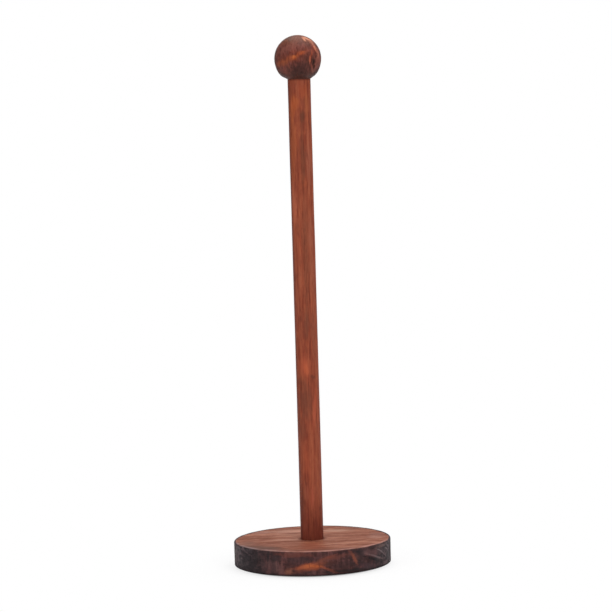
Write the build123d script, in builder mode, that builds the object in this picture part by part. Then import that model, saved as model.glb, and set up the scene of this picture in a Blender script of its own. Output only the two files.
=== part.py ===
from build123d import *
import math
import os

# Paper towel holder for a kitchen worktop: a heavy turned disc, a round post that the roll
# slides over, and a ball finial, all of stained hardwood. A countersunk screw from below
# draws the post into the disc, a double-ended screw holds the ball on the post, and four
# felt pads keep the screw's head and the disc off the worktop.
#
# Millimetres. +Z is up and -Y is the front. The origin is on the worktop, on the post's axis.

# Turned base
base_diameter = 110.0
base_thickness = 17.0
base_top_round = 1.2
base_bottom_round = 0.8

# Post: a 5/8 inch dowel that stands in a shallow socket in the base
post_diameter = 15.9
free_post_length = 322.5
socket_depth = 6.0
socket_clearance = 0.05
socket_lead_in = 0.25
post_foot_chamfer = 0.6

# Ball finial, cut flat underneath where it sits on the post
ball_diameter = 32.4

# Felt pads
pad_diameter = 12.0
pad_thickness = 1.2
pad_edge_round = 0.3
pad_circle_radius = 41.0

# Wood screws, 5 mm, with a 90 degree head on the lower one
screw_diameter = 5.0
thread_core_diameter = 3.3
thread_pitch = 2.2
tip_length = 4.0
hole_clearance = 0.2
pilot_extra_depth = 1.5

base_screw_length = 40.0
base_screw_shank = 9.0
head_diameter = 9.8
head_rim = 0.35
head_recess = 1.0
recess_span = 5.4
recess_width = 1.15
recess_depth = 2.0
recess_taper = 8.0

finial_screw_in_post = 24.0
finial_screw_in_ball = 18.0
finial_screw_grip = 2.5

# Heights and radii that follow
base_radius = base_diameter / 2
post_radius = post_diameter / 2
ball_radius = ball_diameter / 2
screw_radius = screw_diameter / 2
core_radius = thread_core_diameter / 2
head_radius = head_diameter / 2
head_cone = head_radius - screw_radius

base_bottom_z = pad_thickness
base_top_z = base_bottom_z + base_thickness
post_foot_z = base_top_z - socket_depth
neck_z = base_top_z + free_post_length
neck_to_ball_centre = math.sqrt(ball_radius**2 - post_radius**2)
ball_centre_z = neck_z + neck_to_ball_centre
head_face_z = base_bottom_z + head_recess
countersink_z = head_face_z + head_rim - hole_clearance


def facing_down(height):
    """The plane at a height that a hole is drilled upwards from."""
    return Plane(origin=(0, 0, height), x_dir=(1, 0, 0), z_dir=(0, 0, -1))


def thread_points(start, end):
    """Radius and height of each corner of a wood screw's thread, from its shank to its tip."""
    turn = thread_pitch if end > start else -thread_pitch
    turns = int(abs(end - start) / thread_pitch)
    points = []
    for i in range(turns):
        foot = start + i * turn
        points.append((core_radius, foot + 0.15 * turn))
        points.append((screw_radius, foot + 0.55 * turn))
        points.append((core_radius, foot + 0.95 * turn))
    return points


os.makedirs("parts", exist_ok=True)

# The base is one disc with eased edges, a socket above and a screw hole below
with BuildPart() as base:
    with BuildSketch(Plane.XY.offset(base_bottom_z)):
        Circle(base_radius)
    extrude(amount=base_thickness)
    rims = base.edges().filter_by(GeomType.CIRCLE).sort_by(Axis.Z)
    fillet(rims[-1], radius=base_top_round)
    fillet(rims[0], radius=base_bottom_round)
    with Locations((0, 0, base_top_z)):
        Hole(radius=post_radius + socket_clearance, depth=socket_depth)
    mouth = base.edges().filter_by(GeomType.CIRCLE).group_by(Axis.Z)[-1].sort_by(SortBy.RADIUS)[0]
    chamfer(mouth, length=socket_lead_in)
    with Locations(facing_down(countersink_z)):
        CounterSinkHole(
            radius=screw_radius + hole_clearance,
            counter_sink_radius=head_radius + hole_clearance,
            counter_sink_angle=90,
        )
    with Locations(facing_down(base_bottom_z)):
        Hole(radius=head_radius + hole_clearance, depth=countersink_z - base_bottom_z)
base.part.label = "base"
export_step(base.part, "parts/base.step")

# The post is a plain dowel, drilled up its foot and down its head for the two screws
with BuildPart() as post:
    with BuildSketch(Plane.XY.offset(post_foot_z)):
        Circle(post_radius)
    extrude(amount=neck_z - post_foot_z)
    chamfer(post.edges().filter_by(GeomType.CIRCLE).sort_by(Axis.Z)[0], length=post_foot_chamfer)
    with Locations(facing_down(post_foot_z)):
        pilot_in_foot = base_screw_length - (post_foot_z - head_face_z) + pilot_extra_depth
        Hole(radius=core_radius, depth=pilot_in_foot)
    with Locations((0, 0, neck_z)):
        Hole(radius=core_radius, depth=finial_screw_in_post + pilot_extra_depth)
post.part.label = "post"
export_step(post.part, "parts/post.step")

# The ball has a flat of the post's own diameter, so the two run into each other with no step
with BuildPart() as ball_finial:
    with Locations((0, 0, ball_centre_z)):
        Sphere(ball_radius)
    split(bisect_by=Plane.XY.offset(neck_z), keep=Keep.TOP)
    with Locations(facing_down(neck_z)):
        Hole(radius=core_radius, depth=finial_screw_in_ball + pilot_extra_depth)
ball_finial.part.label = "ball_finial"
export_step(ball_finial.part, "parts/ball_finial.step")

# Countersunk wood screw, head down, with a cross recess for the driver
with BuildPart() as base_screw:
    with BuildSketch(Plane.XZ):
        with BuildLine():
            Polyline(
                (0, head_face_z),
                (head_radius, head_face_z),
                (head_radius, head_face_z + head_rim),
                (screw_radius, head_face_z + head_rim + head_cone),
                (screw_radius, head_face_z + base_screw_shank),
                (core_radius, head_face_z + base_screw_shank + screw_radius - core_radius),
                *thread_points(
                    head_face_z + base_screw_shank + screw_radius - core_radius,
                    head_face_z + base_screw_length - tip_length,
                ),
                (core_radius, head_face_z + base_screw_length - tip_length),
                (0, head_face_z + base_screw_length),
                close=True,
            )
        make_face()
    revolve(axis=Axis.Z)
    with BuildSketch(facing_down(head_face_z)):
        Rectangle(recess_span, recess_width)
        Rectangle(recess_width, recess_span)
    extrude(amount=-recess_depth, taper=recess_taper, mode=Mode.SUBTRACT)
base_screw.part.label = "base_screw"
export_step(base_screw.part, "parts/base_screw.step")

# Double-ended screw: a plain grip between two threads, one in the post and one in the ball
with BuildPart() as finial_screw:
    lower_tip_z = neck_z - finial_screw_in_post
    upper_tip_z = neck_z + finial_screw_in_ball
    grip_bottom_z = neck_z - finial_screw_grip
    grip_top_z = neck_z + finial_screw_grip
    with BuildSketch(Plane.XZ):
        with BuildLine():
            Polyline(
                (0, lower_tip_z),
                (core_radius, lower_tip_z + tip_length),
                *reversed(thread_points(grip_bottom_z, lower_tip_z + tip_length)),
                (core_radius, grip_bottom_z),
                (core_radius, grip_top_z),
                *thread_points(grip_top_z, upper_tip_z - tip_length),
                (core_radius, upper_tip_z - tip_length),
                (0, upper_tip_z),
                close=True,
            )
        make_face()
    revolve(axis=Axis.Z)
finial_screw.part.label = "finial_screw"
export_step(finial_screw.part, "parts/finial_screw.step")

# Four round felt pads, each a quarter turn from the next
pad_angles = {
    "felt_pad_back_right": 45,
    "felt_pad_back_left": 135,
    "felt_pad_front_left": 225,
    "felt_pad_front_right": 315,
}
for pad_name, angle in pad_angles.items():
    with BuildPart() as felt_pad:
        with BuildSketch(Plane.XY):
            with PolarLocations(pad_circle_radius, 1, start_angle=angle):
                Circle(pad_diameter / 2)
        extrude(amount=pad_thickness)
        fillet(felt_pad.edges().filter_by(GeomType.CIRCLE).sort_by(Axis.Z)[0], radius=pad_edge_round)
    felt_pad.part.label = pad_name
    export_step(felt_pad.part, f"parts/{pad_name}.step")
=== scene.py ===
import math

import bmesh
import bpy
from mathutils import Matrix, Vector, noise


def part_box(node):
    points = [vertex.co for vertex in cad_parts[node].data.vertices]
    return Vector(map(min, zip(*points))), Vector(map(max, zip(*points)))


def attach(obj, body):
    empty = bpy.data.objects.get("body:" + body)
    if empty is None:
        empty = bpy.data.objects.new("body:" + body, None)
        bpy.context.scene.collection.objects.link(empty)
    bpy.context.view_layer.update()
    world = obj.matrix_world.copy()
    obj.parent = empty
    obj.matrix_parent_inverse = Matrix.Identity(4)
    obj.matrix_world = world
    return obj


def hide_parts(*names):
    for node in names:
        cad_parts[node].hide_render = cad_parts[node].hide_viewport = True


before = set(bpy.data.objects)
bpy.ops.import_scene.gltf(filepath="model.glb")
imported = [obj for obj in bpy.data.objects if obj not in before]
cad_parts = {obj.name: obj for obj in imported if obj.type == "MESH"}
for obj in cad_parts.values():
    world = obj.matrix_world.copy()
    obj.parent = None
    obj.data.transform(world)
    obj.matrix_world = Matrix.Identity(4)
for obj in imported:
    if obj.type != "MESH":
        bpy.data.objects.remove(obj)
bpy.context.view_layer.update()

# Paper towel holder of stained wood: a turned base, a round post and a ball finial, each made here
# as a finely divided mesh over its CAD solid, with the screws' real threads and the felt pads.
# Meshes are in metres. Names that end in _mm, and every size inside a material or a relief, are in
# millimetres. A colour is given as an ordinary colour picker's 0 to 255 values.

MM = 0.001


# ---------------------------------------------------------------- the CAD model's sizes

def size_of(node):
    """Radius, lowest and highest point of a round CAD node that stands on the post's axis."""
    low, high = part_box(node)
    return (high[0] - low[0]) / 2, low[2], high[2]


base_radius, base_bottom, base_top = size_of("base")
post_radius, post_foot, post_neck = size_of("post")
ball_radius, ball_bottom, ball_top = size_of("ball_finial")
ball_centre = ball_top - ball_radius
head_radius, head_face, base_screw_tip = size_of("base_screw")
thread_radius, finial_screw_low, finial_screw_high = size_of("finial_screw")

# Sizes that the boxes of the nodes don't tell
CORE_RADIUS = 1.65 * MM
SHANK_LENGTH = 9.0 * MM
TIP_LENGTH = 4.0 * MM
TIP_RADIUS = 0.12 * MM
THREAD_PITCH = 2.2 * MM
THREAD_HALF_WIDTH = 0.4  # of a pitch
THREAD_BULGE = 0.8  # below 1 its flanks bulge, above 1 they are hollow
HEAD_RIM = 0.35 * MM
RECESS_SPAN = 5.4 * MM
RECESS_WIDTH = 1.15 * MM
RECESS_DEPTH = 2.0 * MM
RECESS_TAPER = math.radians(8)
RECESS_OVERSHOOT = 0.05 * MM
HOLE_CLEARANCE = 0.2 * MM
SOCKET_CLEARANCE = 0.05 * MM
SOCKET_LEAD_IN = 0.25 * MM
PILOT_EXTRA = 1.5 * MM
POST_CHAMFER = 0.6 * MM
BASE_TOP_ROUND = 1.2 * MM
BASE_BOTTOM_ROUND = 0.8 * MM
SCREW_GRIP = 2.5 * MM
PAD_ROUND = 0.3 * MM

# What only this model has: a ball that stands a little to the left of the post, a scar on the
# right of the base's edge, and a drying check on the right of the ball
BALL_ASIDE = -0.45 * MM
SCAR_ASIDE = 49.5 * MM
SCAR_HEIGHT = 9.1 * MM
SCAR_SLOPE = math.radians(-19)
SCAR_LENGTH = 11.0 * MM
SCAR_WIDTH = 1.3 * MM
SCAR_DEPTH_MM = 0.25
CHECK_ASIDE = 12.3 * MM
CHECK_HEIGHT = -3.4 * MM
CHECK_WIDTH = 3.2 * MM
CHECK_LENGTH = 9.0 * MM
CHECK_DEPTH_MM = 0.45


# ---------------------------------------------------------------- mesh helpers

def run(start, end, step):
    """Points from start up to, but without, end, a step apart or less."""
    count = max(1, math.ceil(math.dist(start, end) / step))
    return [
        tuple(a + (b - a) * i / count for a, b in zip(start, end))
        for i in range(count)
    ]


def bend(centre, radius, first, last, count):
    """Points of an arc in a profile, from one angle up to, but without, the other, in degrees."""
    points = []
    for i in range(count):
        angle = math.radians(first + (last - first) * i / count)
        points.append((centre[0] + radius * math.cos(angle), centre[1] + radius * math.sin(angle)))
    return points


def spin(profile, around, closed):
    """Turns a profile of (radius, height) points into a mesh; a radius of 0 gives a pole."""
    made = bmesh.new()
    rings = []
    for radius, height in profile:
        if radius == 0:
            rings.append([made.verts.new((0, 0, height))] * around)
            continue
        ring = []
        for i in range(around):
            angle = 2 * math.pi * i / around
            ring.append(made.verts.new((radius * math.cos(angle), radius * math.sin(angle), height)))
        rings.append(ring)
    pairs = list(zip(rings, rings[1:]))
    if closed:
        pairs.append((rings[-1], rings[0]))
    for lower, upper in pairs:
        for i in range(around):
            j = (i + 1) % around
            corners = dict.fromkeys((lower[i], lower[j], upper[j], upper[i]))
            if len(corners) > 2:
                made.faces.new(corners)
    bmesh.ops.recalc_face_normals(made, faces=made.faces)
    return made


def carve(made, relief):
    """Moves each vertex along its normal by what relief says for its place, in metres."""
    made.normal_update()
    moves = [(vert, vert.normal * relief(vert.co)) for vert in made.verts]
    for vert, move in moves:
        vert.co += move


def piece(name, made, material, sharp=35):
    """Finishes a mesh as a smooth-shaded object of the model that rides on its only body."""
    mesh = bpy.data.meshes.new(name)
    made.to_mesh(mesh)
    made.free()
    mesh.shade_smooth()
    mesh.set_sharp_from_angle(angle=math.radians(sharp))
    mesh.materials.append(material)
    thing = bpy.data.objects.new(name, mesh)
    bpy.context.collection.objects.link(thing)
    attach(thing, "root")
    return thing


def ripple(place, sizes, height, seed):
    """Noise between plus and minus height, with features as large as sizes, in millimetres."""
    x, y, z = (value / MM for value in place)
    return noise.noise(Vector((x / sizes[0] + seed, y / sizes[1], z / sizes[2]))) * height


def ease(value, low, high):
    """0 below low, 1 above high and a smooth step between them."""
    t = min(1.0, max(0.0, (value - low) / (high - low)))
    return t * t * (3 - 2 * t)


def cut(made, tool):
    """Takes one closed mesh away from another."""
    things = []
    for part in (made, tool):
        mesh = bpy.data.meshes.new("cut")
        part.to_mesh(mesh)
        part.free()
        things.append(bpy.data.objects.new("cut", mesh))
        bpy.context.collection.objects.link(things[-1])
    modifier = things[0].modifiers.new("cut", "BOOLEAN")
    modifier.operation = "DIFFERENCE"
    modifier.solver = "EXACT"
    modifier.object = things[1]
    result = bmesh.new()
    result.from_object(things[0], bpy.context.evaluated_depsgraph_get())
    for thing in things:
        bpy.data.objects.remove(thing)
    return result


# ---------------------------------------------------------------- material helpers

def colour(red, green, blue):
    """The linear colour that a shader wants."""
    linear = []
    for value in (red, green, blue):
        share = value / 255
        linear.append(share / 12.92 if share <= 0.04045 else ((share + 0.055) / 1.055) ** 2.4)
    return (*linear, 1.0)


class Graph:
    """Short-hand for one material's nodes. Places and sizes are in millimetres in the row frame."""

    def __init__(self, name):
        self.material = bpy.data.materials.new(name)
        self.material.use_nodes = True
        self.nodes = self.material.node_tree.nodes
        self.links = self.material.node_tree.links
        self.shader = self.nodes["Principled BSDF"]
        metres = self.nodes.new("ShaderNodeTexCoord").outputs["Object"]
        self.place = self.vector("MULTIPLY", metres, (1 / MM, 1 / MM, 1 / MM))
        self.x, self.y, self.z = self.split(self.place)

    def put(self, socket, value):
        """Gives a socket a fixed value or links it to another node's output."""
        if isinstance(value, bpy.types.NodeSocket):
            self.links.new(value, socket)
        else:
            socket.default_value = value

    def number(self, operation, *values):
        node = self.nodes.new("ShaderNodeMath")
        node.operation = operation
        for socket, value in zip(node.inputs, values):
            self.put(socket, value)
        return node.outputs[0]

    def vector(self, operation, *values):
        node = self.nodes.new("ShaderNodeVectorMath")
        node.operation = operation
        for socket, value in zip(node.inputs, values):
            self.put(socket, value)
        return node.outputs["Value" if operation == "LENGTH" else "Vector"]

    def split(self, place):
        node = self.nodes.new("ShaderNodeSeparateXYZ")
        self.put(node.inputs[0], place)
        return node.outputs

    def join(self, x, y, z):
        node = self.nodes.new("ShaderNodeCombineXYZ")
        for socket, value in zip(node.inputs, (x, y, z)):
            self.put(socket, value)
        return node.outputs[0]

    def turn(self, place, degrees):
        """A place turned about Z."""
        node = self.nodes.new("ShaderNodeVectorRotate")
        node.rotation_type = "Z_AXIS"
        self.put(node.inputs["Vector"], place)
        node.inputs["Angle"].default_value = math.radians(degrees)
        return node.outputs[0]

    def noise(self, place, size, detail=2.0, roughness=0.5):
        """Noise from 0 to 1 whose features are as large as size, a number or one for each axis."""
        if isinstance(size, tuple):
            place = self.vector("DIVIDE", place, size)
            size = 1.0
        node = self.nodes.new("ShaderNodeTexNoise")
        self.put(node.inputs["Vector"], place)
        node.inputs["Scale"].default_value = 1 / size
        node.inputs["Detail"].default_value = detail
        node.inputs["Roughness"].default_value = roughness
        return node.outputs["Fac"]

    def ease(self, value, low, high, at_low=0.0, at_high=1.0):
        """A smooth step from at_low, where the value is low, to at_high, where it is high."""
        node = self.nodes.new("ShaderNodeMapRange")
        node.interpolation_type = "SMOOTHSTEP"
        for socket, number in zip(node.inputs, (value, low, high, at_low, at_high)):
            self.put(socket, number)
        return node.outputs[0]

    def blend(self, share, first, second, mode="MIX"):
        """The first paint with a share of the second over it."""
        node = self.nodes.new("ShaderNodeMix")
        node.data_type = "RGBA"
        node.blend_type = mode
        self.put(node.inputs[0], share)
        self.put(node.inputs[6], first)
        self.put(node.inputs[7], second)
        return node.outputs[2]

    def grey(self, paint):
        """How pale a paint is."""
        node = self.nodes.new("ShaderNodeRGBToBW")
        self.put(node.inputs[0], paint)
        return node.outputs[0]

    def bump(self, height, distance_mm, strength=1.0):
        """Relief too fine for the mesh."""
        node = self.nodes.new("ShaderNodeBump")
        node.inputs["Strength"].default_value = strength
        node.inputs["Distance"].default_value = distance_mm * MM
        self.put(node.inputs["Height"], height)
        self.put(self.shader.inputs["Normal"], node.outputs[0])


def round_the_axis(graph, radius):
    """Laid flat: millimetres round the axis from the front, to the right, and the height."""
    angle = graph.number("ARCTAN2", graph.x, graph.number("MULTIPLY", graph.y, -1))
    return graph.join(graph.number("MULTIPLY", angle, radius), graph.z, 0)


# ---------------------------------------------------------------- wood

# The lists of spots below are the marks that show in the photograph. Their places, in millimetres
# on the surface, and their tints were typed in one by one. They were read off the photograph with
# measuring scripts and corrected against its average colours, as report.md tells.

def growth_rings(g, grain, pith, climb, pitch, wander):
    """0 in the pale early wood of each ring, rising to 1 in its dark late wood.

    The rings lie round a line along X through pith = (y, z), which climbs as it runs to the right, so
    that the surface cuts them in long arches. wander is how far they sway, in millimetres.
    """
    sway = g.number("MULTIPLY", g.number("SUBTRACT", g.noise(grain, (38, 16, 16), 3.0), 0.5), wander)
    x, y, z = g.split(grain)
    across = g.number("ADD", g.number("SUBTRACT", y, pith[0]), sway)
    above = g.number("MULTIPLY_ADD", x, -climb, g.number("SUBTRACT", z, pith[1]))
    reach = g.vector("LENGTH", g.join(0, across, above))
    phase = g.number("FRACT", g.number("DIVIDE", reach, pitch))
    return g.number("MULTIPLY", g.ease(phase, 0.25, 0.86), g.ease(phase, 1.0, 0.9))


def fibres(g, place, sizes):
    """Fine lines, from 0 to 1, along the direction in which sizes is longest."""
    return g.noise(place, sizes, 3.0, 0.65)


def daub(g, paint, flat, size, spots):
    """Adds ragged, streaky spots to a paint, on a surface laid flat in millimetres.

    Each spot is a centre, half sizes, a turn in degrees, a tint and a share. size is how large the
    streaks are that break its outline.
    """
    drift = g.number("SUBTRACT", g.noise(flat, tuple(2.5 * value for value in size), 2.0), 0.5)
    flat = g.vector("ADD", flat, g.join(0, g.number("MULTIPLY", drift, 2.0 * size[1]), 0))
    wander = g.number("SUBTRACT", g.noise(flat, size, 4.0, 0.65), 0.5)
    for centre, half, turn, tint, share in spots:
        offset = g.turn(g.vector("SUBTRACT", flat, (*centre, 0)), -turn)
        reach = g.vector("LENGTH", g.vector("DIVIDE", offset, (*half, 1)))
        mask = g.ease(g.number("MULTIPLY_ADD", wander, 1.8, reach), 1.5, 0.35, 0.0, share)
        paint = g.blend(mask, paint, colour(*tint))
    return paint


def fine_grain(g, paint, bent, fibre, pore, strength=1.0):
    """Adds pale and dark fibres and open pores, each as large as its three sizes, to a paint."""
    lines = fibres(g, bent, fibre)
    pores = g.noise(bent, pore, 2.0)
    pale, dark = colour(214, 148, 116), colour(70, 34, 26)
    paint = g.blend(g.ease(lines, 0.54, 0.72, 0.0, 0.34 * strength), paint, pale, "SOFT_LIGHT")
    paint = g.blend(g.ease(lines, 0.5, 0.32, 0.0, 0.5 * strength), paint, dark, "SOFT_LIGHT")
    return g.blend(g.ease(pores, 0.64, 0.76, 0.0, 0.4 * strength), paint, colour(52, 24, 18))


def finish_grain(g, paint, place, fibre, pore, strength, satin):
    """Ends a wood with its fine grain, a gloss that follows it and pores too fine for the mesh."""
    g.put(g.shader.inputs["Base Color"], fine_grain(g, paint, place, fibre, pore, strength))
    lines = fibres(g, place, fibre)
    g.put(g.shader.inputs["Roughness"], g.ease(lines, 0.3, 0.7, *satin))
    g.shader.inputs["Specular IOR Level"].default_value = 0.12
    pores = g.noise(place, pore, 2.0)
    g.bump(g.number("MULTIPLY_ADD", pores, -0.5, lines), 0.1, 0.5)


def top_face(g):
    """Paint and late wood of the base's top: wavy grain that runs from side to side."""
    grain = g.turn(g.place, -4)
    rings = growth_rings(g, grain, pith=(6.0, -20.0), climb=0.12, pitch=9.0, wander=18.0)
    sway = g.number("MULTIPLY", g.noise(grain, (30, 14, 14), 1.0), 9)
    bent = g.vector("ADD", grain, g.join(0, sway, 0))
    bands = g.noise(bent, (36, 5.5, 5.5), 4.0, 0.5)
    clouds = g.noise(bent, (30, 14, 14), 3.0)

    paint = g.blend(g.ease(bands, 0.38, 0.62), colour(132, 78, 58), colour(170, 108, 82))
    paint = g.blend(g.ease(clouds, 0.5, 0.3, 0.0, 0.35), paint, colour(122, 68, 50))
    paint = g.blend(g.number("MULTIPLY", rings, 0.34), paint, colour(112, 60, 44))
    streaks = g.noise(bent, (9, 2.6, 2.6), 3.0, 0.6)
    paint = g.blend(g.ease(streaks, 0.5, 0.34, 0.0, 0.4), paint, colour(104, 58, 44))
    paint = g.blend(g.ease(streaks, 0.52, 0.68, 0.0, 0.4), paint, colour(188, 124, 96))
    level = g.join(g.x, g.y, 0)
    paint = daub(g, paint, level, (20, 2.8, 1), (
        ((-17, 33), (15, 7), 4, (202, 142, 116), 0.55),
        ((-36, 30), (8, 6), 30, (176, 124, 110), 0.4),
        ((-16, 17), (10, 4), 0, (182, 124, 96), 0.4),
        ((-18, 9), (13, 4), 0, (180, 118, 90), 0.4),
        ((-19, -3), (11, 3.0), 3, (200, 136, 108), 0.45),
        ((-27, -11), (22, 2.6), -6, (120, 66, 48), 0.5),
        ((-24, -22), (15, 2.2), -4, (176, 112, 88), 0.2),
        ((-28, -36), (12, 2.8), -20, (98, 62, 52), 0.55),
        ((17, 30), (12, 6), 0, (200, 146, 118), 0.45),
        ((32, 42), (12, 4.5), -24, (106, 74, 64), 0.5),
        ((26, 21), (20, 3), -3, (130, 76, 56), 0.45),
        ((20, 6), (13, 4), 0, (130, 82, 64), 0.35),
        ((25, -4), (9, 2.4), 0, (122, 74, 58), 0.4),
        ((45, 0), (6, 8), 0, (176, 128, 112), 0.35),
        ((20, -8), (14, 2.4), 10, (126, 72, 52), 0.4),
        ((31, -18), (11, 2.8), 14, (194, 128, 94), 0.48),
        ((30, -29), (10, 2.2), 16, (126, 70, 50), 0.42),
        ((12, -42), (18, 2.4), 6, (160, 94, 70), 0.35),
        # The next spot, a warm strip on the top in front of the post, is a painted reflection of the
        # post
        ((0, -34), (8, 20), 0, (136, 66, 44), 0.55),
        ((-4, -38), (30, 7), 0, (134, 76, 56), 0.4),
        ((2, -47), (30, 4.0), 0, (102, 60, 48), 0.68),
        # Painted shade: this spot darkens the front left of the top by its rim
        ((-37, -33), (15, 10), -30, (92, 66, 58), 0.74),
        ((-46, -14), (7, 9), -16, (110, 76, 66), 0.62),
        ((18, -20), (10, 2.2), 4, (128, 80, 60), 0.35),
        # Painted shade by the front left rim, like the spot three lines above
        ((-25, -43), (9, 5), -20, (104, 74, 66), 0.5),
        ((26, -44), (9, 4), 22, (104, 68, 58), 0.5),
        ((46, 12), (5, 6), 0, (118, 82, 74), 0.42),
    ))
    # Painted shade: a dark ring on the top round the post's foot
    away = g.vector("LENGTH", level)
    foot = post_radius / MM
    paint = g.blend(g.ease(away, foot + 3.4, foot, 0.0, 0.62), paint, colour(76, 38, 28))
    return fine_grain(g, paint, bent, (44, 0.8, 0.8), (5, 0.24, 0.24), 0.8), rings


def turned_edge(g, out, lower):
    """Paint of the base's turned edge: nearly black, with a knot's bright heart low at the front."""
    flat = round_the_axis(g, out)
    angle = g.number("ARCTAN2", g.x, g.number("MULTIPLY", g.y, -1))
    facing = g.number("ABSOLUTE", g.number("COSINE", g.number("SUBTRACT", angle, math.radians(6))))
    blotch = g.noise(g.place, 9, 4.0, 0.6)
    ticks = g.noise(g.place, (2.6, 2.6, 11), 4.0, 0.7)
    flecks = g.noise(g.place, (4.0, 4.0, 2.2), 4.0, 0.6)

    # The stain is soaked up most where the edge is end grain, to the left and to the right
    side_grain = g.number("MULTIPLY_ADD", g.number("SUBTRACT", blotch, 0.5), 0.7, facing)
    paint = g.blend(g.ease(side_grain, 0.66, 1.05), colour(46, 37, 39), colour(72, 42, 40))
    streaky = g.number("MULTIPLY", g.ease(facing, 0.45, 0.85), g.ease(ticks, 0.42, 0.64, 0.0, 0.65))
    reddish = g.ease(g.noise(g.place, 7, 3.0), 0.36, 0.6)
    paint = g.blend(g.number("MULTIPLY", reddish, streaky), paint, colour(112, 70, 68))
    paint = g.blend(g.ease(flecks, 0.5, 0.34, 0.0, 0.5), paint, colour(28, 22, 24))
    paint = g.blend(g.ease(flecks, 0.52, 0.7, 0.0, 0.5), paint, colour(92, 62, 60))
    # Pale grey flecks on the end grain to the left and right: partly the end grain's own tone, partly
    # painted sheen
    end_grain_and_sheen = g.number("MULTIPLY", g.ease(facing, 0.78, 0.3), g.ease(flecks, 0.42, 0.66, 0.05, 0.6))
    paint = g.blend(end_grain_and_sheen, paint, colour(112, 94, 98))
    paint = daub(g, paint, flat, (4, 1.6, 1), (
        ((-52, 9), (10, 7), 0, (38, 31, 34), 0.6),
        ((-72, 12), (4, 7), 0, (94, 78, 80), 0.4),
        ((-63, 5), (5, 5), 0, (42, 36, 38), 0.5),
        ((-41, 13), (5, 2), 0, (44, 37, 38), 0.5),
        ((-13, 16.2), (13, 1.6), 0, (116, 64, 54), 0.55),
        ((-8, 12.8), (12, 1.8), 0, (60, 42, 44), 0.5),
        ((-31, 7.0), (8, 4.4), 0, (92, 64, 64), 0.45),
        ((-1, 8.2), (12, 3.0), 8, (106, 54, 42), 0.7),
        ((-1.5, 8.0), (8.5, 2.3), 6, (142, 70, 44), 0.85),
        ((-23, 4.8), (2.4, 2.6), 0, (112, 74, 70), 0.6),
        ((9, 12.8), (7.5, 1.8), 16, (114, 64, 52), 0.55),
        ((9, 9.4), (4.0, 1.3), 8, (66, 40, 35), 0.65),
        ((19, 13.8), (8.0, 1.5), 4, (104, 58, 50), 0.55),
        ((20, 7.6), (8.0, 2.4), 0, (56, 38, 38), 0.6),
        ((32, 13.0), (3.0, 2.0), -50, (96, 58, 52), 0.4),
        ((18, 3.6), (13, 1.1), 0, (32, 28, 29), 0.7),
        ((34, 3.2), (11, 1.5), -2, (32, 28, 30), 0.6),
        ((27.4, 15.2), (2.8, 1.3), -50, (112, 62, 52), 0.6),
        ((34.6, 15.0), (4.0, 1.5), -20, (30, 25, 28), 0.75),
        ((35.6, 8.8), (1.6, 3.2), 10, (36, 28, 30), 0.6),
        ((46, 13.4), (10, 2.2), -6, (104, 72, 72), 0.6),
        ((42, 5.0), (8, 2.0), -8, (86, 60, 64), 0.5),
        ((58, 16.4), (8, 1.6), 0, (110, 84, 80), 0.6),
        ((64, 3.8), (5, 1.6), -10, (104, 84, 86), 0.5),
        ((73.5, 7.4), (3.4, 5), 0, (60, 48, 52), 0.5),
    ))
    paint = daub(g, paint, flat, (2.6, 0.8, 1), (
        ((-3.6, 8.3), (3.6, 1.4), 16, (186, 98, 56), 0.8),
        ((2.4, 8.1), (4.2, 1.2), -6, (180, 92, 52), 0.75),
        ((-0.4, 9.4), (3.6, 0.5), 8, (160, 84, 54), 0.6),
        ((6.2, 9.8), (4.4, 1.0), 12, (130, 68, 50), 0.4),
        ((11.6, 14.0), (5.0, 0.8), 16, (124, 64, 50), 0.5),
        ((-6.0, 7.8), (2.2, 1.3), 8, (162, 86, 56), 0.5),
        ((-2.4, 6.6), (5.0, 0.8), 2, (146, 78, 52), 0.5),
        ((4.0, 10.8), (4.0, 0.9), 28, (128, 70, 52), 0.5),
        ((7.4, 7.0), (3.4, 0.6), -18, (150, 78, 52), 0.6),
        ((11, 5.4), (6.0, 0.9), -24, (122, 62, 46), 0.58),
        ((-2.4, 8.4), (0.35, 2.0), 0, (108, 56, 42), 0.5),
        ((1.4, 8.0), (0.35, 1.8), 4, (116, 60, 42), 0.45),
        ((4.6, 8.8), (0.4, 2.2), -4, (96, 50, 40), 0.5),
        ((-17, 4.4), (2.8, 2.2), 30, (146, 90, 72), 0.65),
        ((-10, 4.6), (3.6, 0.9), 16, (112, 62, 50), 0.45),
        ((-9.0, 7.0), (3.6, 1.2), 14, (156, 82, 56), 0.65),
        ((-22, 8.0), (0.7, 3.0), 0, (112, 74, 68), 0.5),
        ((-26, 7.0), (0.7, 3.4), 0, (112, 78, 74), 0.5),
        ((-32, 7.6), (0.7, 3.0), 0, (104, 74, 72), 0.5),
        ((30.2, 11.4), (4.6, 1.2), -62, (132, 72, 54), 0.8),
        ((51, 9.9), (10, 0.7), -19, (126, 102, 102), 0.55),
        ((48, 8.6), (12, 0.9), -19, (28, 22, 25), 0.75),
        ((56, 13.2), (5, 0.5), -24, (134, 114, 114), 0.5),
        ((63, 9.4), (4, 0.5), -30, (128, 110, 112), 0.5),
        ((66, 13.4), (3, 0.5), -20, (134, 116, 116), 0.5),
        ((-74, 13), (3, 1.0), 30, (118, 100, 100), 0.5),
        ((-76, 7), (3, 0.8), 50, (110, 92, 92), 0.5),
    ))
    paint = g.blend(g.ease(ticks, 0.5, 0.34, 0.0, 0.2), paint, colour(24, 18, 20))
    # Painted shade along the bottom of the edge, darkest where it meets the floor
    return g.blend(g.ease(g.z, lower + 2.0, lower + 0.3, 0.0, 0.75), paint, colour(22, 17, 18))


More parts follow.
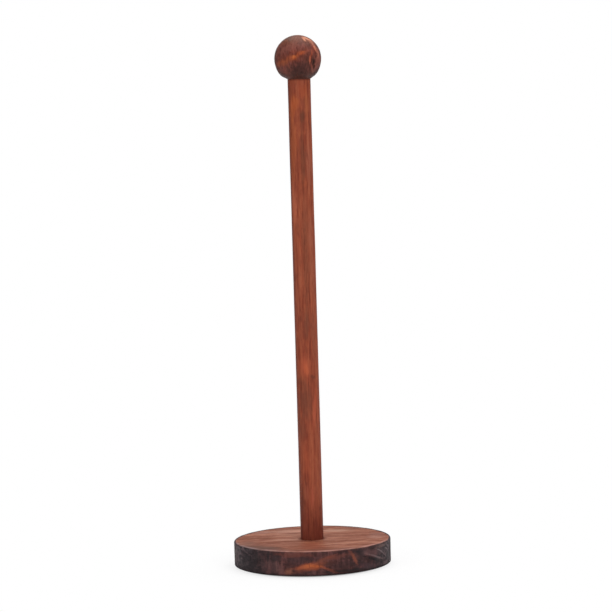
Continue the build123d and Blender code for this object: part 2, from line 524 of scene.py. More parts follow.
def underside(g):
    """Paint of the base's flat underside: the same board, stained thinly and never polished."""
    grain = g.turn(g.place, -4)
    sway = g.number("MULTIPLY", g.noise(grain, (24, 12, 12)), 8)
    bent = g.vector("ADD", grain, g.join(0, sway, 0))
    bands = g.noise(bent, (26, 5.0, 5.0), 4.0, 0.6)
    paint = g.blend(g.ease(bands, 0.35, 0.65), colour(88, 50, 38), colour(132, 82, 62))
    smears = g.noise(g.place, 18, 3.0)
    paint = g.blend(g.ease(smears, 0.5, 0.7, 0.0, 0.5), paint, colour(72, 42, 34))
    return fine_grain(g, paint, bent, (30, 0.9, 0.9), (5, 0.24, 0.24))


def base_wood():
    """The base's top, edge and underside, and a painted highlight along the front rim."""
    g = Graph("base_wood")
    out, upper, lower = base_radius / MM, base_top / MM, base_bottom / MM
    top, rings = top_face(g)
    paint = turned_edge(g, out, lower)

    # The top's paint stops at a dark margin, which is broad at the back
    rim = g.vector("LENGTH", g.join(g.x, g.y, 0))
    inset = g.number("SUBTRACT", out, rim)
    frayed = g.number("SUBTRACT", g.noise(g.place, 5, 3.0), 0.5)
    behind = g.ease(g.y, -20, 36)
    margin = g.number("MULTIPLY_ADD", behind, 2.2, 0.6)
    margin = g.number("MULTIPLY_ADD", frayed, g.number("MULTIPLY_ADD", behind, 1.4, 0.5), margin)
    inside = g.ease(g.number("SUBTRACT", inset, margin), -0.3, 0.5)
    on_top = g.number("MULTIPLY", inside, g.ease(g.z, upper - 1.0, upper - 0.4))
    paint = g.blend(on_top, paint, top)

    # Painted highlight in patches just inside the front rim, a pale pinkish grey strip where the
    # rounded rim catches the light
    reach = g.ease(g.y, 10, -50, 2.2, 5.0)
    outer = g.ease(inset, reach, g.number("MULTIPLY", reach, 0.45))
    strip = g.number("MULTIPLY", outer, g.ease(g.y, 18, -4))
    patchy = g.ease(g.noise(g.place, 7, 3.0), 0.34, 0.62, 0.1, 0.8)
    painted_rim_highlight = g.number("MULTIPLY", g.number("MULTIPLY", strip, patchy), on_top)
    rim_highlight_tint = g.blend(g.ease(g.x, -42, -18), colour(140, 118, 118), colour(184, 134, 124))
    paint = g.blend(painted_rim_highlight, paint, rim_highlight_tint)
    below = g.number("MULTIPLY", g.ease(g.z, lower + 0.3, lower + 0.05), g.ease(inset, 0.5, 1.6))
    paint = g.blend(below, paint, underside(g))

    polish = g.ease(g.grey(top), 0.07, 0.24, 0.7, 0.36)
    matt = g.ease(g.noise(g.place, 9, 3.0), 0.35, 0.65, 0.6, 0.8)
    gloss = g.number("MULTIPLY_ADD", on_top, g.number("SUBTRACT", polish, matt), matt)
    g.put(g.shader.inputs["Base Color"], paint)
    g.put(g.shader.inputs["Roughness"], gloss)
    g.shader.inputs["Specular IOR Level"].default_value = 0.16
    lines = fibres(g, g.place, (34, 1.1, 1.1))
    g.bump(g.number("MULTIPLY_ADD", rings, 0.6, lines), 0.14, 0.5)
    return g.material


def post_wood():
    """Straight grain up the post, redder and darker towards the foot, with one bright knot."""
    g = Graph("post_wood")
    flat = round_the_axis(g, post_radius / MM)
    sway = g.number("MULTIPLY", g.number("SUBTRACT", g.noise(g.place, (9, 9, 60), 3.0), 0.5), 3)
    bent = g.vector("ADD", g.place, g.join(sway, sway, 0))
    streaks = g.noise(bent, (2.2, 2.2, 70), 3.0, 0.6)
    clouds = g.noise(g.place, (5, 5, 14), 4.0, 0.62)

    paint = g.blend(g.ease(streaks, 0.34, 0.66), colour(134, 62, 43), colour(160, 83, 57))
    paint = g.blend(g.ease(clouds, 0.52, 0.72, 0.0, 0.5), paint, colour(172, 90, 58))
    paint = g.blend(g.ease(clouds, 0.47, 0.3, 0.0, 0.45), paint, colour(106, 54, 40))
    flecks = g.noise(bent, (1.3, 1.3, 7), 3.0, 0.6)
    paint = g.blend(g.ease(flecks, 0.5, 0.34, 0.0, 0.35), paint, colour(108, 52, 38))
    paint = g.blend(g.ease(flecks, 0.52, 0.68, 0.0, 0.35), paint, colour(172, 92, 62))
    upright = g.join(g.z, g.number("MULTIPLY", g.split(flat)[0], -1), 0)
    paint = daub(g, paint, upright, (7, 1.3, 1), (
        ((324, 4.0), (6.0, 2.6), 0, (186, 96, 54), 0.7),
        ((332, -3.0), (5.0, 2.4), 0, (166, 80, 48), 0.5),
        ((315, -1.6), (4.0, 2.0), 0, (100, 58, 42), 0.75),
        ((300, -1.0), (13, 1.6), 0, (116, 64, 48), 0.5),
        ((282, -1.4), (13, 2.0), 0, (112, 64, 46), 0.6),
        ((297, 3.6), (9, 1.3), 0, (178, 92, 56), 0.5),
        ((296, 6.4), (25, 2.4), 0, (176, 94, 58), 0.5),
        ((318, 6.0), (7, 2.4), 0, (184, 96, 58), 0.5),
        ((324, -5.4), (7, 2.2), 0, (176, 98, 62), 0.5),
        ((254, 6.8), (14, 2.8), 0, (194, 108, 78), 0.65),
        ((284, -5.6), (20, 2.0), 0, (170, 102, 80), 0.45),
        ((240, -3.6), (28, 2.4), 0, (166, 90, 62), 0.45),
        ((218, -1.4), (44, 2.4), 0, (110, 62, 46), 0.45),
        ((234, -5.6), (12, 2.0), 0, (168, 98, 76), 0.5),
        ((188, 6.4), (20, 2.4), 0, (158, 84, 62), 0.45),
        ((204, 3.0), (9, 1.8), 0, (176, 98, 68), 0.45),
        ((210, -5.8), (16, 2.2), 0, (164, 96, 72), 0.4),
        ((170, -0.6), (11, 1.7), 0, (114, 66, 50), 0.6),
        ((141, 2.2), (6.6, 3.8), 8, (176, 86, 58), 0.7),
        ((139, 0.8), (4.4, 1.8), 10, (190, 96, 62), 0.6),
        ((133.4, -4.0), (1.2, 2.6), -24, (92, 52, 40), 0.5),
        ((166, -5.6), (16, 2.0), 0, (120, 66, 50), 0.45),
        ((131, 5.6), (3, 2.4), 0, (104, 58, 44), 0.45),
        ((117, 2.0), (13, 4.6), 0, (112, 66, 50), 0.55),
        ((111, -4.8), (12, 1.5), -6, (180, 86, 60), 0.6),
        ((97, 5.4), (9, 3.4), 0, (106, 58, 44), 0.5),
        ((82, 4.4), (7, 2.0), 0, (166, 84, 56), 0.4),
        ((92, -5.4), (12, 1.6), 0, (164, 90, 66), 0.45),
        ((73, 2.4), (8, 1.6), 0, (176, 86, 56), 0.5),
        ((60, -4.4), (20, 2.0), 0, (160, 86, 62), 0.45),
        ((52, 3.2), (6, 1.8), 0, (172, 92, 68), 0.4),
        ((45, 6.4), (12, 2.2), 0, (92, 50, 38), 0.45),
        ((24, 5.6), (7, 3.2), 0, (180, 98, 74), 0.6),
        ((48, -0.8), (8, 0.9), 0, (178, 88, 66), 0.5),
    ))
    # Darker and redder towards the foot: partly stain pooled there, partly painted shade near the
    # base
    foot = g.ease(g.z, base_top / MM + 2, base_top / MM + 34, 0.64, 0.0)
    paint = g.blend(foot, paint, colour(100, 43, 33))
    # Painted shadow: a dark band at the top of the post, under the ball
    painted_shadow_under_ball = g.ease(g.z, post_neck / MM - 1.6, post_neck / MM, 0.0, 0.5)
    paint = g.blend(painted_shadow_under_ball, paint, colour(70, 32, 24))
    shaded_left = g.ease(g.split(flat)[0], -6.5, -10.5, 0.0, 0.45)
    paint = g.blend(shaded_left, paint, colour(92, 46, 38))
    finish_grain(g, paint, bent, (0.62, 0.62, 24), (0.2, 0.2, 4.0), 1.0, (0.58, 0.46))
    return g.material


def ball_wood():
    """Dark wood with fine upright lines: one bright slanting band in front, faint ones behind."""
    g = Graph("ball_wood")
    middle = ball_centre / MM
    centred = g.vector("SUBTRACT", g.place, (0, 0, middle))
    flat = g.vector("SUBTRACT", round_the_axis(g, ball_radius / MM), (0, middle, 0))
    sway = g.number("MULTIPLY", g.number("SUBTRACT", g.noise(centred, 8, 2.0), 0.5), 5)
    bent = g.vector("ADD", centred, g.join(sway, sway, sway))
    streaks = g.noise(bent, (2.4, 8, 7.0), 3.0, 0.6)
    clouds = g.noise(centred, 6, 4.0, 0.6)
    upright = g.vector("ADD", centred, g.vector("MULTIPLY", g.join(sway, sway, 0), (0.3, 0.3, 0)))

    paint = g.blend(g.ease(streaks, 0.34, 0.66), colour(96, 51, 44), colour(134, 76, 65))
    paint = g.blend(g.ease(clouds, 0.5, 0.3, 0.0, 0.35), paint, colour(70, 36, 32))
    paint = g.blend(g.ease(g.z, middle + 7, middle + 13, 0.0, 0.8), paint, colour(112, 62, 42))
    slant = g.number("ADD", g.number("MULTIPLY_ADD", g.x, -0.3, g.z), sway)
    phase = g.number("FRACT", g.number("DIVIDE", slant, 5.4))
    late_wood = g.number("MULTIPLY", g.ease(phase, 0.2, 0.85), g.ease(phase, 1.0, 0.9))
    behind = g.ease(g.y, 1, 9, 0.0, 0.5)
    paint = g.blend(g.number("MULTIPLY", late_wood, behind), paint, colour(62, 32, 26))
    paint = daub(g, paint, flat, (1.5, 3.0, 1), (
        # The first spot, a large dark patch low in front, is painted shade
        ((0.6, -8.2), (9.5, 5.2), 0, (60, 35, 31), 0.88),
        ((4.0, -4.2), (4.0, 2.4), -10, (74, 42, 38), 0.7),
        ((-11.5, -8.2), (3.0, 3.4), -20, (112, 60, 52), 0.45),
        ((-15.0, 5.4), (3.6, 3.4), 0, (84, 52, 44), 0.4),
        ((-8.6, 7.0), (5.6, 2.4), 12, (140, 84, 72), 0.5),
        ((8.0, -0.6), (4.6, 3.6), 0, (68, 40, 32), 0.6),
        ((1.6, 10.2), (5.0, 1.8), 0, (104, 64, 58), 0.35),
        # The next four spots, dark at the ball's left and right sides and low down, are painted shade
        ((-22.5, 5.0), (2.6, 9.0), 0, (52, 34, 28), 0.6),
        ((-18.5, -9.6), (3.2, 3.4), -20, (58, 34, 28), 0.55),
        ((-23.8, -3.0), (2.2, 7.0), 0, (46, 29, 25), 0.5),
        ((17.5, -10.6), (4.0, 2.6), 20, (62, 38, 34), 0.75),
        ((-5.0, 0.8), (12.0, 3.6), 15, (114, 56, 42), 0.75),
        ((-13.2, -2.6), (5.6, 2.2), 10, (146, 78, 52), 0.75),
        ((-5.4, 0.6), (4.8, 2.6), 18, (146, 74, 46), 0.8),
        ((-3.0, 1.2), (2.4, 1.7), 22, (184, 96, 54), 0.75),
        ((2.2, 3.8), (4.2, 1.9), 24, (160, 76, 44), 0.8),
        ((6.4, 4.8), (2.6, 0.8), 8, (140, 70, 50), 0.6),
        ((1.8, 1.0), (1.2, 1.2), 10, (88, 38, 27), 0.7),
        ((-0.4, -2.2), (3.4, 0.9), 16, (66, 36, 31), 0.6),
        ((6.4, 1.6), (2.6, 1.8), 30, (84, 42, 34), 0.6),
        ((13.4, 6.6), (1.6, 3.2), 8, (124, 52, 38), 0.7),
        # The next two spots, pale peach streaks down the right side, are painted highlights
        ((15.6, 6.6), (1.3, 3.2), 10, (202, 122, 94), 0.8),
        ((17.6, 3.2), (1.6, 3.8), -6, (184, 114, 92), 0.75),
        ((-17, 14.4), (10, 1.8), 0, (84, 72, 64), 0.5),
        # The next two spots, pale peach near the top on the right, are painted highlights
        ((13.2, 13.8), (4.0, 1.2), -8, (222, 154, 124), 0.85),
        ((8.6, 13.8), (2.2, 1.0), -10, (212, 142, 110), 0.8),
        ((4.2, 5.8), (2.2, 1.3), 10, (90, 48, 42), 0.62),
        ((-4.2, 5.4), (2.6, 1.3), 12, (150, 76, 58), 0.55),
        ((-7.6, -6.6), (2.4, 2.4), 0, (64, 38, 33), 0.45),
        ((16.4, -6.2), (1.4, 2.4), 0, (134, 86, 78), 0.5),
        # The next three spots, pale peach on the upper right, are painted highlights
        ((16.4, 10.4), (1.8, 2.2), -20, (198, 136, 114), 0.5),
        ((13.9, 11.3), (2.6, 1.2), -34, (182, 116, 92), 0.45),
        ((17.6, 12.4), (2.8, 1.1), -24, (210, 142, 116), 0.65),
        ((9.0, 9.4), (3.4, 1.2), -30, (88, 50, 42), 0.5),
    ))
    paint = daub(g, paint, flat, (0.9, 2.0, 1), (
        ((-1.6, 3.2), (0.6, 1.4), 0, (96, 42, 28), 0.6),
        ((-4.6, 1.4), (0.45, 1.6), -6, (112, 52, 36), 0.6),
        ((0.3, 2.6), (0.45, 1.6), 8, (110, 50, 34), 0.6),
        ((3.0, 3.4), (0.45, 1.8), -8, (104, 48, 34), 0.55),
        ((-9.4, -1.4), (0.5, 1.8), 6, (104, 52, 40), 0.5),
        ((15.4, 8.8), (0.8, 0.9), -20, (112, 56, 44), 0.6),
        ((16.8, 5.0), (1.0, 0.8), -20, (120, 66, 52), 0.55),
        ((10.0, 2.8), (0.8, 3.0), -26, (160, 78, 54), 0.75),
        ((8.4, -1.0), (0.8, 2.6), 0, (182, 94, 66), 0.8),
        ((10.2, -5.0), (0.7, 2.6), 28, (146, 78, 60), 0.65),
        ((12.6, -8.4), (0.8, 2.2), 36, (144, 94, 80), 0.65),
        ((14.2, 1.0), (0.8, 1.0), 0, (48, 26, 20), 0.8),
        ((12.0, -2.4), (1.3, 2.4), -8, (42, 22, 16), 0.95),
        ((13.0, -5.6), (1.0, 1.6), 8, (46, 26, 20), 0.85),
        ((15.2, -2.6), (0.9, 3.4), 6, (136, 76, 62), 0.6),
        ((-3.0, 2.0), (1.6, 1.0), 24, (204, 112, 62), 0.6),
        ((3.2, 4.4), (2.0, 0.8), 20, (176, 84, 46), 0.6),
        ((-11.0, -1.8), (2.4, 0.7), 14, (158, 84, 54), 0.5),
        ((-4.6, -2.6), (0.5, 2.4), 4, (122, 66, 56), 0.5),
        ((-2.4, -3.6), (0.5, 2.0), -4, (116, 62, 54), 0.5),
        ((-7.0, -4.6), (0.5, 2.6), 10, (128, 68, 52), 0.5),
        ((-6.2, 6.4), (0.5, 2.6), 24, (140, 80, 70), 0.45),
        ((-1.6, 7.0), (0.5, 2.6), 4, (146, 84, 72), 0.45),
        ((3.4, 8.4), (0.5, 2.4), -10, (148, 84, 76), 0.45),
    ))
    # Painted shade: darker towards the bottom of the ball
    paint = g.blend(g.ease(g.z, middle - 7, middle - 12, 0.0, 0.7), paint, colour(58, 36, 29))
    # Painted shade: darker at the ball's left and right sides, low down
    shade_at_sides = g.ease(g.number("ABSOLUTE", g.split(flat)[0]), 19.5, 23.5, 0.0, 0.4)
    low = g.ease(g.z, middle + 2, middle - 8)
    paint = g.blend(g.number("MULTIPLY", shade_at_sides, low), paint, colour(36, 24, 21))
    finish_grain(g, paint, upright, (0.8, 1.4, 10), (0.26, 0.5, 2.4), 1.2, (0.56, 0.44))
    return g.material


# ---------------------------------------------------------------- steel and felt

def screw_steel():
    """Zinc plate: a cloudy yellowish sheen with fine scratches."""
    g = Graph("screw_steel")
    clouds = g.noise(g.place, 1.6, 3.0)
    scratches = g.noise(g.place, (0.12, 2.5, 0.12), 2.0)
    paint = g.blend(g.ease(clouds, 0.35, 0.65), colour(196, 184, 150), colour(218, 214, 202))
    paint = g.blend(g.ease(scratches, 0.55, 0.75, 0.0, 0.35), paint, colour(150, 146, 136))
    g.put(g.shader.inputs["Base Color"], paint)
    g.shader.inputs["Metallic"].default_value = 1.0
    g.put(g.shader.inputs["Roughness"], g.ease(clouds, 0.3, 0.7, 0.28, 0.45))
    g.bump(scratches, 0.02, 0.5)
    return g.material


def brown_felt():
    """Pressed wool: matted fibres, lighter where they stand up."""
    g = Graph("felt")
    mat = g.noise(g.place, 0.45, 4.0, 0.7)
    hairs = g.noise(g.vector("ADD", g.place, g.join(mat, mat, 0)), (1.6, 0.14, 0.3), 2.0)
    paint = g.blend(g.ease(mat, 0.35, 0.65), colour(40, 33, 29), colour(74, 62, 54))
    paint = g.blend(g.ease(hairs, 0.6, 0.75, 0.0, 0.6), paint, colour(104, 90, 78))
    g.put(g.shader.inputs["Base Color"], paint)
    g.put(g.shader.inputs["Roughness"], g.ease(mat, 0.3, 0.7, 0.86, 0.98))
    g.shader.inputs["Sheen Weight"].default_value = 0.4
    g.shader.inputs["Sheen Roughness"].default_value = 0.5
    g.bump(g.number("ADD", mat, g.number("MULTIPLY", hairs, 0.6)), 0.25, 0.8)
    return g.material


# ---------------------------------------------------------------- the wooden pieces

def make_base():
    """The turned disc, with its socket, its screw's hole and the scar."""
    socket_radius = post_radius + SOCKET_CLEARANCE
    hole_radius = thread_radius + HOLE_CLEARANCE
    bore_radius = head_radius + HOLE_CLEARANCE
    mouth, mouth_foot = socket_radius + SOCKET_LEAD_IN, base_top - SOCKET_LEAD_IN
    top_edge, top_foot = base_radius - BASE_TOP_ROUND, base_top - BASE_TOP_ROUND
    bottom_edge, bottom_head = base_radius - BASE_BOTTOM_ROUND, base_bottom + BASE_BOTTOM_ROUND
    seat = head_face + HEAD_RIM - HOLE_CLEARANCE
    cone_top = seat + bore_radius - hole_radius
    fine, coarse = 0.62 * MM, 2.5 * MM
    profile = [
        *run((socket_radius, post_foot), (socket_radius, mouth_foot), coarse),
        *run((socket_radius, mouth_foot), (mouth, base_top), fine),
        *run((mouth, base_top), (top_edge, base_top), fine),
        *bend((top_edge, top_foot), BASE_TOP_ROUND, 90, 0, 7),
        *run((base_radius, top_foot), (base_radius, bottom_head), fine),
        *bend((bottom_edge, bottom_head), BASE_BOTTOM_ROUND, 0, -90, 5),
        *run((bottom_edge, base_bottom), (bore_radius, base_bottom), coarse),
        *run((bore_radius, base_bottom), (bore_radius, seat), coarse),
        *run((bore_radius, seat), (hole_radius, cone_top), coarse),
        *run((hole_radius, cone_top), (hole_radius, post_foot), coarse),
        *run((hole_radius, post_foot), (socket_radius, post_foot), coarse),
    ]
    rim_reach = 2.5 * MM

    def relief(place):
        out = math.hypot(place.x, place.y)
        if place.z < bottom_head or out < mouth:
            return 0.0
        swell = ripple(place, sizes=(34, 30, 16), height=0.11, seed=3.0)
        raised_grain = ripple(place, sizes=(26, 2.6, 2.6), height=0.05, seed=9.0)
        pores = ripple(place, sizes=(12, 1.4, 1.4), height=0.03, seed=23.0)
        near_rim = ease(out, base_radius - rim_reach, base_radius)
        near_rim *= ease(place.z, base_top - rim_reach, base_top)
        nibbled = near_rim * ripple(place, sizes=(7, 7, 7), height=0.12, seed=17.0)
        beside = base_radius * math.atan2(place.x, -place.y) - SCAR_ASIDE
        above = place.z - SCAR_HEIGHT
        along = beside * math.cos(SCAR_SLOPE) + above * math.sin(SCAR_SLOPE)
        across = above * math.cos(SCAR_SLOPE) - beside * math.sin(SCAR_SLOPE)
        on_edge = ease(out, base_radius - 0.6 * MM, base_radius - 0.3 * MM)
        in_scar = ease(math.hypot(along / SCAR_LENGTH, across / SCAR_WIDTH), 1.0, 0.2)
        scar = -SCAR_DEPTH_MM * on_edge * in_scar
        return (swell + raised_grain + nibbled + pores + scar) * MM

    made = spin(profile, around=540, closed=True)
    carve(made, relief)
    base = piece("turned_base", made, base_wood())
    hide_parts("base")


def make_post():
    """The dowel, with a pilot hole at each end, sanded a little unevenly where it is free."""
    foot_pilot = base_screw_tip + PILOT_EXTRA
    neck_pilot = finial_screw_low - PILOT_EXTRA
    foot_radius, chamfer_top = post_radius - POST_CHAMFER, post_foot + POST_CHAMFER
    fine, coarse = 1.0 * MM, 3.0 * MM
    profile = [
        (0, foot_pilot),
        *run((CORE_RADIUS, foot_pilot), (CORE_RADIUS, post_foot), coarse),
        *run((CORE_RADIUS, post_foot), (foot_radius, post_foot), coarse),
        *run((foot_radius, post_foot), (post_radius, chamfer_top), fine),
        *run((post_radius, chamfer_top), (post_radius, post_neck), fine),
        *run((post_radius, post_neck), (CORE_RADIUS, post_neck), coarse),
        *run((CORE_RADIUS, post_neck), (CORE_RADIUS, neck_pilot), coarse),
        (CORE_RADIUS, neck_pilot),
        (0, neck_pilot),
    ]

    def relief(place):
        if math.hypot(place.x, place.y) < post_radius - 0.1 * MM:
            return 0.0
        free = ease(place.z, base_top, base_top + 2 * MM)
        free *= ease(place.z, post_neck, post_neck - 1.5 * MM)
        sanded = ripple(place, sizes=(9, 9, 34), height=0.07, seed=5.0)
        raised_grain = ripple(place, sizes=(1.5, 1.5, 30), height=0.035, seed=11.0)
        return (sanded + raised_grain) * free * MM

    made = spin(profile, around=96, closed=False)
    carve(made, relief)
    post = piece("dowel_post", made, post_wood())
    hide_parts("post")


def make_ball():
    """The ball, cut flat where it sits on the post, with a pilot hole and the drying check."""
    pilot_end = finial_screw_high + PILOT_EXTRA
    lowest = math.degrees(math.asin((ball_bottom - ball_centre) / ball_radius))
    coarse = 2 * MM
    profile = [
        (0, ball_top),
        *bend((0, ball_centre), ball_radius, 89, lowest, 100),
        *run((post_radius, ball_bottom), (CORE_RADIUS, ball_bottom), coarse),
        *run((CORE_RADIUS, ball_bottom), (CORE_RADIUS, pilot_end), coarse),
        (CORE_RADIUS, pilot_end),
        (0, pilot_end),
    ]

    def relief(place):
        if (place - Vector((0, 0, ball_centre))).length < ball_radius - 0.1 * MM:
            return 0.0
        hand_turned = 0.05 + ripple(place, sizes=(13, 13, 9), height=0.08, seed=7.0)
        fuller_below = 0.4 * ease(place.z, ball_centre - 3 * MM, ball_centre - 11 * MM)
        raised_grain = ripple(place, sizes=(6, 6, 1.4), height=0.04, seed=13.0)
        free = ease(place.z, ball_bottom + 0.2 * MM, ball_bottom + 3 * MM)
        beside = ball_radius * math.atan2(place.x, -place.y) - CHECK_ASIDE
        above = place.z - ball_centre - CHECK_HEIGHT
        in_check = ease(math.hypot(beside / CHECK_WIDTH, above / CHECK_LENGTH), 0.5, 0.15)
        check = -CHECK_DEPTH_MM * in_check
        return ((hand_turned + fuller_below + raised_grain) * free + check) * MM

    made = spin(profile, around=256, closed=False)
    carve(made, relief)
    for vert in made.verts:
        vert.co.x += BALL_ASIDE * ease(vert.co.z, ball_bottom, ball_bottom + 2 * MM)
    ball = piece("turned_ball", made, ball_wood())
    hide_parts("ball_finial")


# ---------------------------------------------------------------- screws and pads

def thread(height, turn, start, end, right_handed=1):
    """Radius of a wood screw at a height and at a share of a turn, with its thread run out."""
    phase = (height / THREAD_PITCH - right_handed * turn) % 1.0
    crest = max(0.0, 1 - abs(phase - 0.5) / THREAD_HALF_WIDTH) ** THREAD_BULGE
    depth = ease(height, start, start + THREAD_PITCH) * ease(height, end, end - 0.4 * TIP_LENGTH)
    return CORE_RADIUS + (thread_radius - CORE_RADIUS) * crest * depth


def threaded(low, high, radius_at, around=40, step=0.18 * MM):
    """A rod whose radius depends on its height and on the angle, closed at both ends."""
    made = bmesh.new()
    count = math.ceil((high - low) / step)
    rings = []
    for row in range(count + 1):
        height = low + (high - low) * row / count
        ring = []
        for i in range(around):
            radius = radius_at(height, i / around)
            angle = 2 * math.pi * i / around
            ring.append(made.verts.new((radius * math.cos(angle), radius * math.sin(angle), height)))
        rings.append(ring)
    for lower, upper in zip(rings, rings[1:]):
        for i in range(around):
            j = (i + 1) % around
            made.faces.new((lower[i], lower[j], upper[j], upper[i]))
    for ring, height in ((rings[0], low), (rings[-1], high)):
        pole = made.verts.new((0, 0, height))
        for i in range(around):
            made.faces.new((ring[i], ring[(i + 1) % around], pole))
    bmesh.ops.recalc_face_normals(made, faces=made.faces)
    return made


def cross(face):
    """The cross recess of a head whose face looks down, as a solid that narrows upwards."""
    made = bmesh.new()
    shrink = RECESS_DEPTH * math.tan(RECESS_TAPER)
    rings = []
    for depth, inset in ((-RECESS_OVERSHOOT, 0), (RECESS_DEPTH, shrink)):
        arm = RECESS_SPAN / 2 - inset
        half = RECESS_WIDTH / 2 - inset
        ring = []
        for quarter in range(4):
            turn = Matrix.Rotation(math.radians(90 * quarter), 3, "Z")
            for corner in ((arm, -half), (arm, half), (half, half)):
                ring.append(made.verts.new(turn @ Vector((*corner, face + depth))))
        rings.append(ring)
    for ring in rings:
        made.faces.new(ring)
    for i in range(len(rings[0])):
        j = (i + 1) % len(rings[0])
        made.faces.new((rings[0][i], rings[0][j], rings[1][j], rings[1][i]))
    bmesh.ops.recalc_face_normals(made, faces=made.faces)
    return made


def make_base_screw(steel):
    """The countersunk screw, head down, with its thread between a plain shank and the tip."""
    cone_top = head_face + HEAD_RIM + head_radius - thread_radius
    shank_end = head_face + SHANK_LENGTH
    point = base_screw_tip - TIP_LENGTH

    def radius_at(height, turn):
        if height < head_face + HEAD_RIM:
            return head_radius
        if height < cone_top:
            return head_radius - (height - head_face - HEAD_RIM)
        if height < shank_end:
            return thread_radius
        if height < point:
            return thread(height, turn, shank_end, base_screw_tip)
        return TIP_RADIUS + (CORE_RADIUS - TIP_RADIUS) * ease(height, base_screw_tip, point)

    made = cut(threaded(head_face, base_screw_tip, radius_at), cross(head_face))
    screw = piece("wood_screw_countersunk", made, steel)
    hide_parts("base_screw")


def make_finial_screw(steel):
    """The double-ended screw, with its two threads on either side of a plain grip."""
    low, high = finial_screw_low, finial_screw_high
    grip_low, grip_high = post_neck - SCREW_GRIP, post_neck + SCREW_GRIP

    def radius_at(height, turn):
        if height < low + TIP_LENGTH:
            return TIP_RADIUS + (CORE_RADIUS - TIP_RADIUS) * ease(height, low, low + TIP_LENGTH)
        if height > high - TIP_LENGTH:
            return TIP_RADIUS + (CORE_RADIUS - TIP_RADIUS) * ease(height, high, high - TIP_LENGTH)
        if height > grip_high:
            return thread(height, turn, grip_high, high)
        if height < grip_low:
            return thread(-height, -turn, -grip_low, -low)
        return CORE_RADIUS

    screw = piece("wood_screw_double_ended", threaded(low, high, radius_at), steel)
    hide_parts("finial_screw")


def make_pads(felt):
    """The felt discs under the base, each over its own CAD node."""
    fine, coarse = 0.4 * MM, 0.8 * MM
    for node in sorted(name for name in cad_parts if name.startswith("felt_pad")):
        low, high = (Vector(corner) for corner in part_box(node))
        radius = (high.x - low.x) / 2
        flat_radius, round_top = radius - PAD_ROUND, low.z + PAD_ROUND
        profile = [
            (0, low.z),
            *run((fine, low.z), (flat_radius, low.z), fine),
            *bend((flat_radius, round_top), PAD_ROUND, -90, 0, 4),
            *run((radius, round_top), (radius, high.z), 0.3 * MM),
            *run((radius, high.z), (fine, high.z), coarse),
            (0, high.z),
        ]
        made = spin(profile, around=72, closed=False)
        centre = Vector(((low.x + high.x) / 2, (low.y + high.y) / 2, 0))
        bmesh.ops.translate(made, verts=made.verts, vec=centre)

        def relief(place):
            if place.z > high.z - 0.1 * MM:
                return 0.0
            return -abs(ripple(place, sizes=(0.9, 0.9, 0.9), height=0.16, seed=21.0)) * MM

        carve(made, relief)
        pad = piece(node.replace("pad", "disc"), made, felt)
        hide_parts(node)


make_base()
make_post()
make_ball()
steel = screw_steel()
make_base_screw(steel)
make_finial_screw(steel)
make_pads(brown_felt())


# ---------------------------------------------------------------- floor, light and camera

def make_floor():
    """A plain pale floor that turns to plain white away from the holder."""
    made = bmesh.new()
    bmesh.ops.create_grid(made, x_segments=8, y_segments=8, size=12.0)
    mesh = bpy.data.meshes.new("floor")
    made.to_mesh(mesh)
    made.free()
    floor = bpy.data.objects.new("floor", mesh)
    bpy.context.collection.objects.link(floor)
    g = Graph("pale_floor")
    g.shader.inputs["Base Color"].default_value = (0.9, 0.9, 0.9, 1)
    g.shader.inputs["Roughness"].default_value = 0.9
    g.shader.inputs["Specular IOR Level"].default_value = 0.0
    glow = g.nodes.new("ShaderNodeEmission")
    mix = g.nodes.new("ShaderNodeMixShader")
    seen = g.nodes.new("ShaderNodeLightPath").outputs["Is Camera Ray"]
    reach = g.vector("LENGTH", g.place)
    rim = base_radius / MM
    beside = g.ease(reach, rim - 6.5, rim - 2.5, 0.2, 0.8)
    away = g.ease(reach, rim, 2 * rim, 0.0, 0.2)
    clear = g.number("ADD", beside, away)
    g.put(mix.inputs[0], g.number("MULTIPLY", clear, seen))
    g.put(mix.inputs[1], g.shader.outputs[0])
    g.put(mix.inputs[2], glow.outputs[0])
    g.put(g.nodes["Material Output"].inputs["Surface"], mix.outputs[0])
    mesh.materials.append(g.material)


def softbox(name, place, target, width, height, power):
    """A rectangular light that faces the target."""
    light = bpy.data.lights.new(name, "AREA")
    light.shape = "RECTANGLE"
    light.size, light.size_y = width, height
    light.energy = power
    lamp = bpy.data.objects.new(name, light)
    bpy.context.collection.objects.link(lamp)
    lamp.location = place
    lamp.rotation_mode = "QUATERNION"
    lamp.rotation_quaternion = (Vector(target) - Vector(place)).to_track_quat("-Z", "Y")


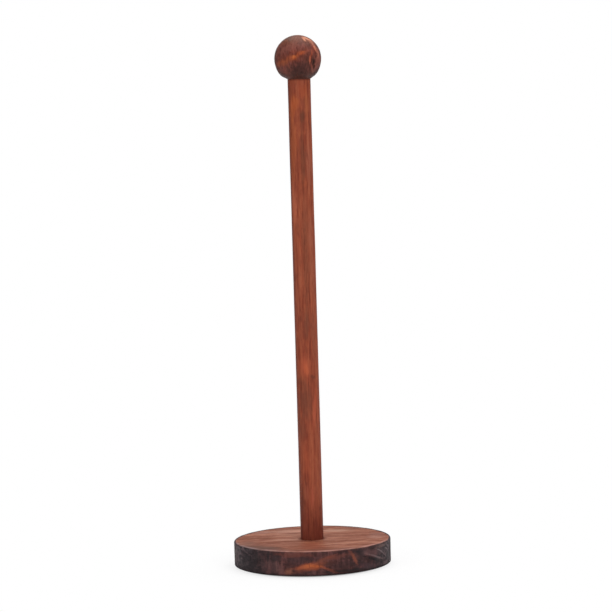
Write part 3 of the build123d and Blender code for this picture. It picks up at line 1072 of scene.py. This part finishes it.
def make_light():
    """Three softboxes, and a dim surrounding that is brightest behind; the camera sees it white."""
    middle = (0, 0, 0.18)
    softbox("overhead", place=(0.15, 0.25, 1.5), target=middle, width=1.4, height=1.2, power=20)
    softbox("front_right", place=(1.0, -1.6, 1.1), target=middle, width=1.0, height=1.2, power=13)
    softbox("front_left", place=(-1.2, -1.5, 0.8), target=middle, width=1.0, height=1.2, power=9)
    world = bpy.data.worlds.new("studio")
    bpy.context.scene.world = world
    world.use_nodes = True
    nodes, links = world.node_tree.nodes, world.node_tree.links
    direction = nodes.new("ShaderNodeTexCoord").outputs["Generated"]
    split = nodes.new("ShaderNodeSeparateXYZ")
    links.new(direction, split.inputs[0])
    behind = nodes.new("ShaderNodeMapRange")
    behind.interpolation_type = "SMOOTHSTEP"
    links.new(split.outputs["Y"], behind.inputs["Value"])
    for socket, value in (("From Min", 0.3), ("From Max", 0.95), ("To Min", 0.2), ("To Max", 0.48)):
        behind.inputs[socket].default_value = value
    links.new(behind.outputs[0], nodes["Background"].inputs["Strength"])
    nodes["Background"].inputs["Color"].default_value = (1, 1, 1, 1)
    white = nodes.new("ShaderNodeBackground")
    white.inputs["Color"].default_value = (1, 1, 1, 1)
    white.inputs["Strength"].default_value = 1.0
    seen = nodes.new("ShaderNodeLightPath").outputs["Is Camera Ray"]
    mix = nodes.new("ShaderNodeMixShader")
    links.new(seen, mix.inputs[0])
    links.new(nodes["Background"].outputs[0], mix.inputs[1])
    links.new(white.outputs[0], mix.inputs[2])
    links.new(mix.outputs[0], nodes["World Output"].inputs["Surface"])
    bpy.context.scene.view_settings.view_transform = "Standard"


# The photograph's outlines leave the distance open; the rest was fitted to them for this one
CAMERA_DISTANCE = 2.2
CAMERA_RISE = math.radians(9.70)
CAMERA_DIP = math.radians(5.5)
CAMERA_LEAN = math.radians(1.65)
CAMERA_ASIDE = 0.35 * MM
CAMERA_LENS = 186.2


def make_camera():
    """Just above the base, far off with a long lens, and leaning a little as it was held."""
    data = bpy.data.cameras.new("camera")
    data.lens = CAMERA_LENS
    data.sensor_width = 36.0
    data.clip_start = 0.1
    data.clip_end = 60.0
    camera = bpy.data.objects.new("camera", data)
    bpy.context.collection.objects.link(camera)
    height = base_top + CAMERA_DISTANCE * math.tan(CAMERA_RISE)
    dip = Matrix.Rotation(math.radians(90) - CAMERA_DIP, 4, "X")
    lean = Matrix.Rotation(-CAMERA_LEAN, 4, "Z")
    camera.matrix_world = Matrix.Translation((CAMERA_ASIDE, -CAMERA_DISTANCE, height)) @ dip @ lean
    bpy.context.scene.camera = camera


make_floor()
make_light()
make_camera()
